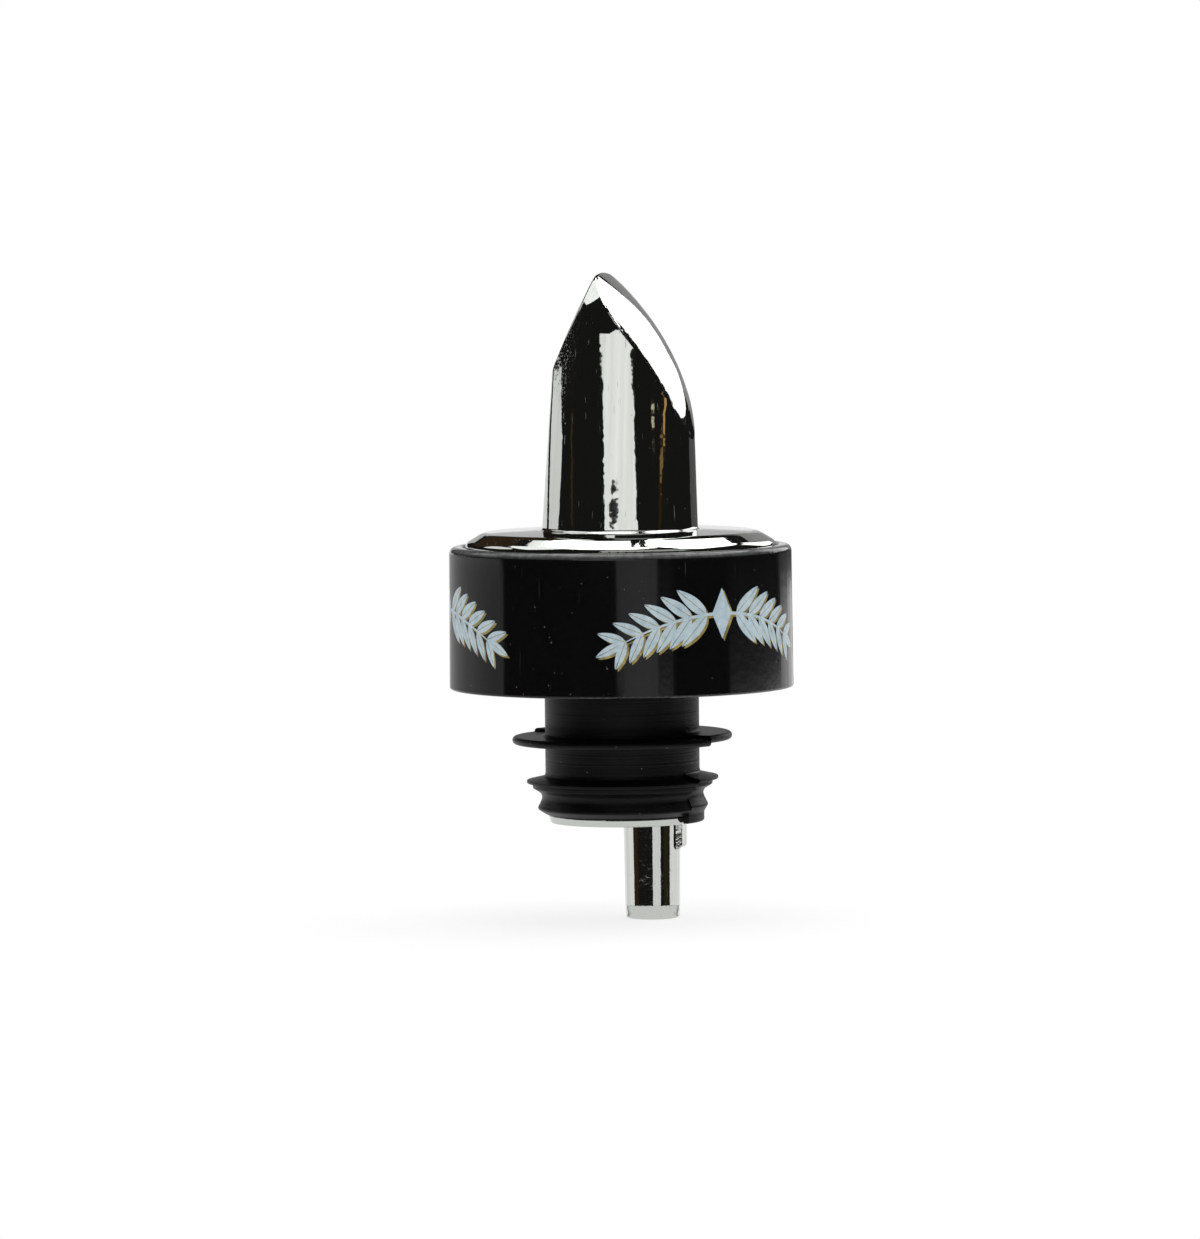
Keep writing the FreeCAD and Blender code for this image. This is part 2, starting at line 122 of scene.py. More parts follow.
def bumps(tree, shader, *layers):
    """Bump layers, each a height and its depth in microns, laid over each other."""
    below = None
    for height, depth in layers:
        bump = add(tree, "ShaderNodeBump", {"Strength": 1.0, "Distance": depth * MICRON, "Height": height})
        if below:
            tree.links.new(below.outputs[0], bump.inputs["Normal"])
        below = bump
    tree.links.new(below.outputs[0], shader.inputs["Normal"])


print("collar black", [round(c, 4) for c in colour("#0A0A0B")])

# %% [markdown]
# ## Wear: hairlines, dust and pits
#
# A pourer lives behind a bar, where it is wiped, rinsed and left in the dust. That shows as threads of
# scratches, in bundles that follow the cloth, and as specks. They could be painted on an image, but an image
# has one size and no more. Here they are noise, drawn out to threads or left round, and cut off so high up
# that only its peaks are left, which stays sharp in a close-up.
#
# A real hairline is a hundredth of a millimetre wide and would be lost between two pixels, so the threads are
# drawn about a tenth of a millimetre wide. The specks measure two to four tenths.

# %% Hairlines and specks
THREADS_PER_MM_LENGTHWISE = 0.12      # a thread is about 8 mm long


def streaks(tree, mm, turn, per_mm, low, high):
    """Hairlines: 0 beside a scratch, 1 in it."""
    stretch = (per_mm, per_mm, THREADS_PER_MM_LENGTHWISE)
    threads = add(tree, "ShaderNodeMapping", {"Vector": mm, "Rotation": turn, "Scale": stretch})
    noise = add(tree, "ShaderNodeTexNoise", {"Vector": threads, "Scale": 1.0, "Detail": 1.0})
    return add(tree, "ShaderNodeMapRange", {"Value": noise, "From Min": low, "From Max": high})


def specks(tree, mm, per_mm, low, high):
    """Dust or pits: 0 beside a speck, 1 on it."""
    noise = add(tree, "ShaderNodeTexNoise", {"Vector": mm, "Scale": per_mm, "Detail": 1.0})
    return add(tree, "ShaderNodeMapRange", {"Value": noise, "From Min": low, "From Max": high})


print(f"a thread is {1 / THREADS_PER_MM_LENGTHWISE:.0f} mm long")

# %% [markdown]
# ## Chrome plated on ABS
#
# Bar fittings of this kind are moulded in ABS and electroplated: copper, nickel, then a breath of chromium.
# Chromium sends back about 60 % of the light as a nearly neutral grey, and the layer is so thin that it
# copies every ripple of the moulding. A plain mirror would do from afar, but it looks like a drawing up
# close. So the recipe is a mirror whose surface sways a little over three millimetres, with the orange peel
# of the plating on top, and with faint lines up the walls, where the moulding was drawn out of its mould.
# The breather tube is rougher, with grit under its plating, and the open face of the spout is pitted where
# drink has dried. Scratches and dust only change the roughness.

# %% Relief of the chrome
RIPPLE_PER_MM, RIPPLE_DEPTH = 0.35, 12.0      # depths are in microns
PEEL_PER_MM, PEEL_DEPTH = 1.0, 4.5
LINES_PER_MM, LINES_DEPTH = (3.0, 3.0, 0.15), 2.0
GRIT_PER_MM, GRIT_DEPTH = 2.2, 5.0
GRIT_BEGINS, GRIT_FULL = -14.0, -16.0         # heights on the tube, in mm


def chrome_relief(tree, shader, mm, place):
    """Ripple, orange peel, draw lines, and grit on the tube."""
    ripple = add(tree, "ShaderNodeTexNoise", {"Vector": mm, "Scale": RIPPLE_PER_MM, "Detail": 1.5})
    peel = add(tree, "ShaderNodeTexNoise", {"Vector": mm, "Scale": PEEL_PER_MM, "Detail": 1.0})
    upright = add(tree, "ShaderNodeMapping", {"Vector": mm, "Scale": LINES_PER_MM})
    lines = add(tree, "ShaderNodeTexNoise", {"Vector": upright, "Scale": 1.0, "Detail": 2.0})
    coarse = add(tree, "ShaderNodeTexNoise", {"Vector": mm, "Scale": GRIT_PER_MM, "Detail": 3.0})
    on_tube = add(tree, "ShaderNodeMapRange", {
        "Value": place.outputs["Z"], "From Min": GRIT_BEGINS, "From Max": GRIT_FULL})
    grit = add(tree, "ShaderNodeMath", {0: on_tube, 1: coarse}, operation="MULTIPLY")
    bumps(tree, shader, (ripple, RIPPLE_DEPTH), (peel, PEEL_DEPTH), (lines, LINES_DEPTH), (grit, GRIT_DEPTH))


print(f"one ripple in {1 / RIPPLE_PER_MM:.1f} mm, {RIPPLE_DEPTH:.0f} microns deep")

# %% Wear of the chrome
MOUTH_X = (-1.6, -4.6)      # the pits begin at the first value and are full at the second, in mm
MOUTH_Z = (30.0, 37.0)


def chrome_wear(tree, mm, place):
    """0 where the mirror is whole, 1 where it is scratched, dusty or pitted."""
    aside = add(tree, "ShaderNodeMapRange", {
        "Value": place.outputs["X"], "From Min": MOUTH_X[0], "From Max": MOUTH_X[1]})
    up = add(tree, "ShaderNodeMapRange", {
        "Value": place.outputs["Z"], "From Min": MOUTH_Z[0], "From Max": MOUTH_Z[1]})
    at_mouth = add(tree, "ShaderNodeMath", {0: aside, 1: up}, operation="MULTIPLY")
    pits = add(tree, "ShaderNodeMath", {0: specks(tree, mm, 4.0, 0.57, 0.63), 1: at_mouth},
               operation="MULTIPLY")
    one_way = streaks(tree, mm, (0.5, 0.9, 0.5), 7, 0.73, 0.80)
    other_way = streaks(tree, mm, (-0.6, 0.4, 0.1), 6, 0.74, 0.80)
    wiped = add(tree, "ShaderNodeMath", {0: one_way, 1: other_way}, operation="MAXIMUM")
    dusty = add(tree, "ShaderNodeMath", {0: wiped, 1: specks(tree, mm, 2.5, 0.78, 0.82)},
                operation="MAXIMUM")
    return add(tree, "ShaderNodeMath", {0: dusty, 1: pits}, operation="MAXIMUM")


print(f"pits from x {MOUTH_X[0]} and z {MOUTH_Z[0]} mm")

# %% Chrome, and a helper that dresses a solid
CHROME_CLEAN, CHROME_WORN = 0.03, 0.4      # roughness


def plated_chrome():
    """Electroplated ABS: a mirror that sways with the moulding."""
    material, tree, shader, mm = start("bright chrome on ABS", Metallic=1.0, Base_Color=colour("#CCCFCA"))
    place = add(tree, "ShaderNodeSeparateXYZ", {0: mm})
    chrome_relief(tree, shader, mm, place)
    rough = add(tree, "ShaderNodeMapRange", {
        "Value": chrome_wear(tree, mm, place), "To Min": CHROME_CLEAN, "To Max": CHROME_WORN})
    tree.links.new(rough.outputs[0], shader.inputs["Roughness"])
    return material


def dress(material, *names):
    """Gives the solids of these names one material and no other."""
    for name in names:
        slots = nodes[name].data.materials
        slots.clear()
        slots.append(material)
    print(f"{material.name}: {', '.join(names)}")


dress(plated_chrome(), "spout_cap", "inlet_stem")

# %% [markdown]
# ## Gloss black ABS
#
# The collar is injection-moulded ABS from a polished mould: black right through, with a gloss skin, the
# faintest orange peel, a few hairlines and dust. Along its upper rim a painted highlight lightens the base
# colour to grey, where the rounded edge catches the light. It could be painted on the edge's faces, but they
# are few and large, so it goes by height instead, and the noise of the orange peel makes it patchy.

# %% Collar plastic
# Heights on the collar where the painted rim highlight begins and where it is full.
RIM_HIGHLIGHT_BEGINS, RIM_HIGHLIGHT_FULL = 15.05, 15.4      # heights on the collar, in mm
COLLAR_PEEL_PER_MM, COLLAR_PEEL_DEPTH = 1.1, 3.0


def gloss_black_abs():
    """ABS from a polished mould: clear reflections that are only a little soft."""
    material, tree, shader, mm = start("gloss black ABS", Roughness=0.09, IOR=1.5, Specular_IOR_Level=0.36)
    peel = add(tree, "ShaderNodeTexNoise", {"Vector": mm, "Scale": COLLAR_PEEL_PER_MM, "Detail": 2.0})
    bumps(tree, shader, (peel, COLLAR_PEEL_DEPTH))
    height = add(tree, "ShaderNodeSeparateXYZ", {0: mm}).outputs["Z"]
    # Painted highlight: the base colour turns a lighter grey up the rim, patchy with the orange peel.
    rim = add(tree, "ShaderNodeMapRange", {
        "Value": height, "From Min": RIM_HIGHLIGHT_BEGINS, "From Max": RIM_HIGHLIGHT_FULL, "To Max": 0.9})
    patchy = add(tree, "ShaderNodeMapRange", {"Value": peel, "From Min": 0.0, "From Max": 0.8})
    painted_rim_highlight = add(tree, "ShaderNodeMath", {0: rim, 1: patchy}, operation="MULTIPLY")
    hairlines = streaks(tree, mm, (1.3, 0.5, 0.2), 8, 0.77, 0.85)
    worn = add(tree, "ShaderNodeMath", {0: hairlines, 1: specks(tree, mm, 2.6, 0.78, 0.82)},
               operation="MAXIMUM")
    # The hairlines and dust are real wear. The rim band is a painted highlight in the same grey.
    wear_and_rim_highlight = add(tree, "ShaderNodeMath", {0: worn, 1: painted_rim_highlight}, operation="MAXIMUM")
    two_tones(tree, shader, wear_and_rim_highlight, "#0A0A0B", "#6A6C6B")
    return material


dress(gloss_black_abs(), "collar")

# %% [markdown]
# ## Matt black rubber
#
# The stopper is a soft rubber or TPE from a plainer mould, whose lathe lines show as fine rings round the
# neck. It scatters what little light it gives back, so it looks charcoal where the light rakes it. The rings
# could be cut in the solid, but they are only hundredths of a millimetre deep, so they are noise along the
# height alone, and a second, finer noise gives the grain between them.

# %% Stopper rubber
RINGS_PER_MM, RINGS_DEPTH = 3.5, 60.0
GRAIN_PER_MM, GRAIN_DEPTH = 6.0, 6.0


def matt_black_rubber():
    """Rubber from a turned mould: matt, with fine rings all round."""
    material, tree, shader, mm = start("matt black moulded rubber", Roughness=0.38, IOR=1.5,
                                       Specular_IOR_Level=0.17)
    height = add(tree, "ShaderNodeSeparateXYZ", {0: mm}).outputs["Z"]
    rings = add(tree, "ShaderNodeTexNoise", {
        "W": height, "Scale": RINGS_PER_MM, "Detail": 4.0, "Roughness": 0.7}, noise_dimensions="1D")
    grain = add(tree, "ShaderNodeTexNoise", {"Vector": mm, "Scale": GRAIN_PER_MM, "Detail": 3.0})
    bumps(tree, shader, (rings, RINGS_DEPTH), (grain, GRAIN_DEPTH))
    hairlines = streaks(tree, mm, (1.3, 0.3, 0.1), 7, 0.78, 0.86)
    worn = add(tree, "ShaderNodeMath", {0: hairlines, 1: specks(tree, mm, 2.2, 0.77, 0.81)},
               operation="MAXIMUM")
    two_tones(tree, shader, worn, "#080808", "#6A6A68")
    return material


dress(matt_black_rubber(), "stopper")

# %% [markdown]
# ## The measure inside
#
# The race and the vent are clear polycarbonate tubes, the plug and the outlet plate are white acetal, the
# seat and the two ring seals are nitrile rubber, and the balls are polished steel. They are seen through the
# mouth and the windows only, and one plain finish for all would hardly be noticed from outside. But whoever
# takes the cap off sees them, so each gets its own.


# %% Race, vent, plug and plate
def clear_polycarbonate():
    """Extruded tube: water clear, with faint flow lines that bend what is seen through it."""
    material, tree, shader, mm = start("clear polycarbonate", Roughness=0.06, IOR=1.585,
                                       Base_Color=colour("#E6EEF0"), Transmission_Weight=0.9)
    flow = add(tree, "ShaderNodeTexNoise", {"Vector": mm, "Scale": 0.5, "Detail": 2.0})
    bump = add(tree, "ShaderNodeBump", {"Strength": 0.3, "Distance": 20 * MICRON, "Height": flow})
    tree.links.new(bump.outputs[0], shader.inputs["Normal"])
    return material


def white_acetal():
    """Turned acetal: a waxy white with a satin skin."""
    material, tree, shader, mm = start("white acetal", Roughness=0.42, IOR=1.48)
    grain = add(tree, "ShaderNodeTexNoise", {"Vector": mm, "Scale": 2.2, "Detail": 4.0})
    two_tones(tree, shader, grain, "#E4E2DB", "#EFEDE8")
    bump = add(tree, "ShaderNodeBump", {"Strength": 0.25, "Distance": 10 * MICRON, "Height": grain})
    tree.links.new(bump.outputs[0], shader.inputs["Normal"])
    return material


dress(clear_polycarbonate(), "ball_race", "vent_tube")
dress(white_acetal(), "metering_plug", "outlet_plate")


# %% Seals and balls
def nitrile_rubber():
    """Moulded rings: a dull charcoal with a trace of bloom."""
    material, tree, shader, mm = start("black nitrile rubber", Roughness=0.55, IOR=1.52)
    bloom = add(tree, "ShaderNodeTexNoise", {"Vector": mm, "Scale": 5.0, "Detail": 4.0})
    two_tones(tree, shader, bloom, "#202020", "#2C2C2B")
    return material


def polished_steel():
    """Lapped bearing balls: bright, with the lapping's faint haze."""
    material, tree, shader, mm = start("polished bearing steel", Metallic=1.0, Base_Color=colour("#C4C5C6"))
    lapping = add(tree, "ShaderNodeTexNoise", {"Vector": mm, "Scale": 3.0, "Detail": 5.0})
    haze = add(tree, "ShaderNodeMapRange", {
        "Value": lapping, "From Min": 0.4, "From Max": 0.7, "To Min": 0.08, "To Max": 0.22})
    tree.links.new(haze.outputs[0], shader.inputs["Roughness"])
    return material


dress(nitrile_rubber(), "valve_seat", "spigot_seal", "outlet_seal")
dress(polished_steel(), "shutoff_ball", "middle_ball", "tail_ball")

# %% [markdown]
# ## The print on the collar
#
# The ring carries a print in silver-blue with gold shading, three times round: a plain laurel garland, two
# branches that leave a lozenge in the middle and bow down to both sides, with pairs of pointed leaves. It
# could be a pattern in the collar's material. But pad printing lays down a film about a hundredth of a
# millimetre thick, and each leaf has a crisp edge, so every leaf is a real, very thin plate.
#
# One leaf half and one lozenge are modelled flat. Copies of them are laid out flat too, with X along the ring
# and Y up it, and the whole layout is wrapped on the ring at the end.

# %% Sizes of the garland, in millimetres
RING_R, RING_TAPER, RING_HEIGHT = 19.0, 0.1, 15.75
REPEATS = 3
FIRST_CENTRE = -39.7           # degrees from +X
HALF_SPAN = 12.6
STEM_LOW, STEM_RISE = 5.5, 3.5
STEM_WIDE = 0.34
PAIRS = 6
FIRST_PAIR, PITCH = 2.0, 1.86
LAST_LEAF_INSET = 0.9
LEAF_LONG, LEAF_SHORT, LEAF_WIDE = 4.5, 3.2, 0.3
LEAF_TURN = 43.0               # degrees from the branch
VEIN = 0.07
GOLD_LOZENGE, SILVER_LOZENGE = (2.7, 5.6), (2.6, 5.5)
GOLD_LIFT, SILVER_LIFT, SINK = 0.005, 0.010, 0.02
SHADE_SHIFT = (0.27, -0.24)    # the gold lies this far to the right of the silver and below it


def stem_height(u):
    """How high the branch runs, u millimetres from the garland's middle."""
    return STEM_LOW + STEM_RISE * (1 - (u / HALF_SPAN) ** 2)


def stem_tilt(u):
    return math.atan(-2 * STEM_RISE * u / HALF_SPAN ** 2)


print(f"a garland spans {math.degrees(2 * HALF_SPAN / RING_R):.0f} degrees of the ring")


# %% Half a leaf, a lozenge and the stem, modelled flat
def cut_out(name, columns, rows, outline):
    """A plate one millimetre thick. Point s across and t along, both -1 to 1, goes where outline says."""
    bpy.ops.object.select_all(action="DESELECT")
    bpy.ops.mesh.primitive_grid_add(x_subdivisions=columns, y_subdivisions=rows, size=2)
    piece = bpy.context.object
    piece.name = name
    for vertex in piece.data.vertices:
        vertex.co.x, vertex.co.y = outline(vertex.co.x, vertex.co.y)
    bpy.ops.object.mode_set(mode="EDIT")
    bpy.ops.mesh.select_all(action="SELECT")
    bpy.ops.mesh.remove_doubles(threshold=0.0001)
    bpy.ops.mesh.extrude_region_move(TRANSFORM_OT_translate={"value": (0, 0, 1)})
    bpy.ops.mesh.select_all(action="SELECT")
    bpy.ops.mesh.normals_make_consistent(inside=False)
    bpy.ops.object.mode_set(mode="OBJECT")
    return piece


def half_leaf(s, t):
    """One side of a leaf of length 1 from the origin: pointed at both ends, fullest near its foot."""
    along = (t + 1) / 2
    half = LEAF_WIDE / 2 * (math.sin(math.pi * along ** 0.8)) ** 0.8 if 0 < along < 1 else 0
    return (s + 1) / 2 * half, along


def lozenge(s, t):
    return s * (1 - abs(t)) / 2, t / 2


def stem(s, t):
    u = s * HALF_SPAN
    return u, stem_height(u) + t * STEM_WIDE / 2 * (1 - abs(s) ** 3)


leaf_side = cut_out("leaf_side", 2, 8, half_leaf)
diamond = cut_out("diamond", 4, 4, lozenge)
branch = cut_out("branch", 90, 1, stem)
print(f"leaf side: {len(leaf_side.data.polygons)} faces, branch: {len(branch.data.polygons)}")


# %% Lay out one garland
def laid(piece, spot, turn, wide, long, lift, flip=1, aside=0.0):
    """A copy with its own mesh: mirrored or moved aside, stretched, turned from upright, given its film."""
    mesh = piece.data.copy()
    for vertex in mesh.vertices:
        x = flip * (vertex.co.x * wide + aside)
        y = vertex.co.y * long
        film = lift if vertex.co.z > 0.5 else -SINK
        vertex.co = (spot[0] + x * math.cos(turn) + y * math.sin(turn),
                     spot[1] - x * math.sin(turn) + y * math.cos(turn), film)
    if flip < 0:
        mesh.flip_normals()
    copy = bpy.data.objects.new(piece.name, mesh)
    bpy.context.scene.collection.objects.link(copy)
    return copy


def leaf(gold, silver, spot, turn, long):
    """Two halves with the vein between them in silver, and the same two shifted, closed up, in gold."""
    shade = (spot[0] + SHADE_SHIFT[0], spot[1] + SHADE_SHIFT[1])
    for flip in (-1, 1):
        gold.append(laid(leaf_side, shade, turn, long, long, GOLD_LIFT, flip))
        silver.append(laid(leaf_side, spot, turn, long, long, SILVER_LIFT, flip, VEIN / 2))


def garland():
    """The gold pieces and the silver pieces of one garland."""
    gold = [laid(branch, SHADE_SHIFT, 0, 1, 1, GOLD_LIFT)]
    silver = [laid(branch, (0, 0), 0, 1, 1, SILVER_LIFT)]
    top = stem_height(0)
    gold.append(laid(diamond, (SHADE_SHIFT[0], top + SHADE_SHIFT[1]), 0, *GOLD_LOZENGE, GOLD_LIFT))
    silver.append(laid(diamond, (0, top), 0, *SILVER_LOZENGE, SILVER_LIFT))
    for side in (-1, 1):
        for i in range(PAIRS):
            u = side * (FIRST_PAIR + PITCH * i)
            long = LEAF_LONG + (LEAF_SHORT - LEAF_LONG) * i / (PAIRS - 1)
            ahead = side * math.pi / 2 - stem_tilt(u)
            for up in (-1, 1):
                turn = ahead + side * up * -math.radians(LEAF_TURN)
                leaf(gold, silver, (u, stem_height(u)), turn, long)
        u = side * (HALF_SPAN - LAST_LEAF_INSET)
        leaf(gold, silver, (u, stem_height(u)), side * math.pi / 2 - stem_tilt(u), LEAF_SHORT)
    return gold, silver


gold_parts, silver_parts = garland()
print(f"one garland: {len(gold_parts)} gold and {len(silver_parts)} silver pieces")


# %% Wrap it on the ring
def joined(parts, name):
    bpy.ops.object.select_all(action="DESELECT")
    for part in parts:
        part.select_set(True)
    bpy.context.view_layer.objects.active = parts[0]
    bpy.ops.object.join()
    piece = bpy.context.object
    piece.name = piece.data.name = name
    return piece


def wrapped(parts, name, material):
    """Joins the flat layout, copies it round the ring and bends each copy on it."""
    flat = joined(parts, name + "_flat")
    copies = []
    for i in range(REPEATS):
        mesh = flat.data.copy()
        centre = math.radians(FIRST_CENTRE + 360 * i / REPEATS)
        for vertex in mesh.vertices:
            u, v, lift = vertex.co
            reach = (RING_R - RING_TAPER * v / RING_HEIGHT + lift) * MM
            angle = centre + u / RING_R
            vertex.co = (reach * math.cos(angle), reach * math.sin(angle), v * MM)
        copy = bpy.data.objects.new(f"{name}_{i}", mesh)
        bpy.context.scene.collection.objects.link(copy)
        copies.append(copy)
    bpy.data.objects.remove(flat)
    piece = joined(copies, name)
    piece.data.materials.clear()
    piece.data.materials.append(material)
    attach(piece, "collar")
    print(f"{name}: {len(piece.data.polygons)} faces")


# %% Inks, and the finished print
def printing_ink(name, light, deep):
    """Two-part pad ink: a soft sheen, and a mottled tone where the film is thin."""
    material, tree, shader, mm = start(name, Roughness=0.22, IOR=1.5)
    mottle = add(tree, "ShaderNodeTexNoise", {"Vector": mm, "Scale": 1.3, "Detail": 5.0, "Roughness": 0.65})
    spread = add(tree, "ShaderNodeMapRange", {"Value": mottle, "From Min": 0.35, "From Max": 0.65})
    two_tones(tree, shader, spread, light, deep)
    return material


silver_ink = printing_ink("silver-blue printing ink", "#BCCDD4", "#A3B7C1")
gold_ink = printing_ink("gold printing ink", "#A8965A", "#6E6236")
wrapped(gold_parts, "garland_gold", gold_ink)
wrapped(silver_parts, "garland_silver", silver_ink)
for piece in (leaf_side, diamond, branch):
    bpy.data.objects.remove(piece)

# %% [markdown]
# ## The camera
#
# The photograph was taken from far away with a long lens, about three and a half degrees above the level of
# the table, and a little more than a quarter of the way round from the mouth. The camera could aim at the
# object's middle and be shifted. Instead it aims at the point that lies in the middle of the photograph, so
# it needs no shift, and the pourer comes out as large, and as far aside, as it is there.

# %% Camera
LOOK_FROM = 15.0               # degrees round from -Y towards +X
LOOK_DOWN = 3.5                # degrees above level
ROLL = -0.6                    # degrees
DISTANCE = 0.9                 # metres
FRAME_TALL = 1239              # pixels
MM_PER_PIXEL = 0.1105
AIM_ASIDE, AIM_UP = -2.32, 7.51      # mm
SENSOR = 36                    # mm


def heading(aside, up):
    """Unit vector from the object, by degrees to the camera's right and degrees above level."""
    a, e = math.radians(LOOK_FROM + aside), math.radians(up)
    return Vector((math.sin(a) * math.cos(e), -math.cos(a) * math.cos(e), math.sin(e)))


right = Vector((math.cos(math.radians(LOOK_FROM)), math.sin(math.radians(LOOK_FROM)), 0))
target = right * AIM_ASIDE * MM + Vector((0, 0, AIM_UP * MM))
camera = bpy.data.objects.new("camera", bpy.data.cameras.new("camera"))
bpy.context.scene.collection.objects.link(camera)
bpy.context.scene.camera = camera
camera.data.sensor_width = SENSOR
camera.data.lens = SENSOR * DISTANCE / (FRAME_TALL * MM_PER_PIXEL * MM)
camera.data.clip_start, camera.data.clip_end = 0.05, 20
back = heading(0, LOOK_DOWN)
camera.location = target + back * DISTANCE
roll = Matrix.Rotation(math.radians(ROLL), 4, "Z")
camera.rotation_euler = ((-back).to_track_quat("-Z", "Y").to_matrix().to_4x4() @ roll).to_euler()
print(f"lens {camera.data.lens:.0f} mm")

# %% [markdown]
# ## The studio
#
# A mirror needs something to mirror. The pourer stood on white paper in a dark room: the metal shows a curl
# of white paper at the left, black room in front, a narrow reflector by the camera, and soft boxes behind and
# above. All this could be one painted surrounding, but then nothing in it could be near. Here each thing is a
# glowing panel of its own. Far panels are drawn by bearing from the camera and elevation, near ones by
# bearing and height, because only a near thing ends part way up the spout.
#
# A real sheet or board is never lit quite evenly, so a wide, soft noise makes each panel's glow uneven.


# %% Panels
FAR, NEAR, NEARER = 1.5, 0.25, 0.2      # metres
BEND_STEPS = 9
FOLDS_PER_M = 16.0
DIM, BRIGHT = 0.87, 1.1                 # how far the glow goes below and above its strength


def uneven_glow(name, strength, tint):
    """Glowing paper or cloth, a little darker and lighter from place to place."""
    material = bpy.data.materials.new(name)
    material.use_nodes = True
    tree = material.node_tree
    tree.nodes.clear()
    place = add(tree, "ShaderNodeTexCoord").outputs["Object"]
    folds = add(tree, "ShaderNodeTexNoise", {"Vector": place, "Scale": FOLDS_PER_M, "Detail": 2.0})
    uneven = add(tree, "ShaderNodeMapRange", {
        "Value": folds, "From Min": 0.3, "From Max": 0.7,
        "To Min": DIM * strength, "To Max": BRIGHT * strength})
    glow = add(tree, "ShaderNodeEmission", {"Color": colour(tint), "Strength": uneven})
    add(tree, "ShaderNodeOutputMaterial", {"Surface": glow})
    return material


def panel(name, outline, strength, tint="#FFFFFF", distance=FAR):
    """A glowing panel through (bearing, elevation) corners, or (bearing, height in millimetres) when near.

    It is drawn flat in these two numbers, subdivided, and then bent round the object.
    """
    bpy.ops.object.select_all(action="DESELECT")
    bpy.ops.mesh.primitive_circle_add(vertices=len(outline), fill_type="NGON")
    board = bpy.context.object
    board.name = name
    for vertex, (aside, up) in zip(board.data.vertices, outline):
        vertex.co = (aside, up, 0)
    bpy.ops.object.mode_set(mode="EDIT")
    bpy.ops.mesh.select_all(action="SELECT")
    bpy.ops.mesh.quads_convert_to_tris(ngon_method="BEAUTY")
    bpy.ops.mesh.subdivide(number_cuts=BEND_STEPS)
    bpy.ops.object.mode_set(mode="OBJECT")
    near = distance <= NEAR
    for vertex in board.data.vertices:
        aside, up = vertex.co.x, vertex.co.y
        vertex.co = heading(aside, 0 if near else up) * distance + Vector((0, 0, up * MM if near else 0))
    board.data.materials.append(uneven_glow(name, strength, tint))
    board.visible_camera = False
    board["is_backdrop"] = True
    print(f"{name}: {len(board.data.polygons)} faces at {distance} m")


def slab(aside, up, wide, high):
    """The corners of a level oblong, by its middle and its sides in degrees."""
    left, low = aside - wide / 2, up - high / 2
    return [(left, low), (left + wide, low), (left + wide, low + high), (left, low + high)]


# %% Lights in front, which the spout shows as its bright stripe
panel("reflector by the camera", [
    (-22, 15), (26, 15), (24.9, 24), (23.5, 28.1), (21.8, 32), (20, 36.5), (18.6, 40.8), (17.1, 43.8),
    (15.3, 46.1), (11.7, 49.3), (9, 56), (-1.5, 62), (-7, 70), (-13, 86), (-22, 74), (-32, 60),
    (-39.4, 56), (-36.5, 53.6), (-33.6, 51.7), (-31, 49.1), (-29.8, 45.6), (-27.7, 41.3), (-25.7, 37),
    (-23.7, 33.1), (-22, 28.7)], 1.15, distance=NEAR)
panel("the camera's dark shape", [
    (-12.3, 32), (-15.6, 30.4), (-17.4, 29.3), (-15.7, 27.6), (-10.4, 25.9), (-4.1, 27.1), (-2.2, 28.6),
    (-6.1, 29.9), (-10, 30.9)], 0.02, distance=NEARER)
panel("front reflector foot", slab(10.5, -2.1, 27, 2.2), 0.75)
panel("front strip on the table", slab(18, -6.1, 33, 5.8), 0.9)
panel("ceiling in front", [(-16, 33), (25, 35), (58, 31), (50, 50), (0, 56), (-14, 52)], 0.45)
panel("card for the gusset", slab(-29.4, -5.0, 2.2, 1.3), 1.0)
panel("brown wall at the left", slab(-72, -6, 20, 6), 0.14, "#8A6A48")
panel("olive wall at the right", slab(60, -6, 24, 6), 0.14, "#77704E")

# %% A low curl of white paper at the left, and a dark post before it
panel("paper curl", [
    (-104, 25), (-95, 12), (-83, 4), (-188, 4), (-188, 33), (-157.9, 33.3), (-147.8, 36.3), (-137.5, 39.7),
    (-129.1, 42), (-118.8, 44.4), (-118, 42.8), (-113.4, 41.3), (-110, 39.1), (-104.4, 36.6), (-104, 33),
    (-103.4, 30)], 0.87, distance=NEAR)
panel("shaded paper", [(-83, 4), (-188, 4), (-188, -25), (-83, -25)], 0.5, distance=NEAR)
panel("paper on the table", [(-83, -25), (-188, -25), (-188, -60), (-83, -60)], 1.0, distance=NEAR)
panel("dark post", [
    (-126, 14), (-134, 14), (-138.2, 18.6), (-143.9, 21.2), (-152.6, 23.9), (-158.5, 27.2), (-159, 30.6),
    (-160, 37), (-151, 37), (-149.7, 32.7), (-147, 29.9), (-142, 26.3), (-135.7, 23), (-130.1, 20.1)],
    0.02, distance=NEARER)

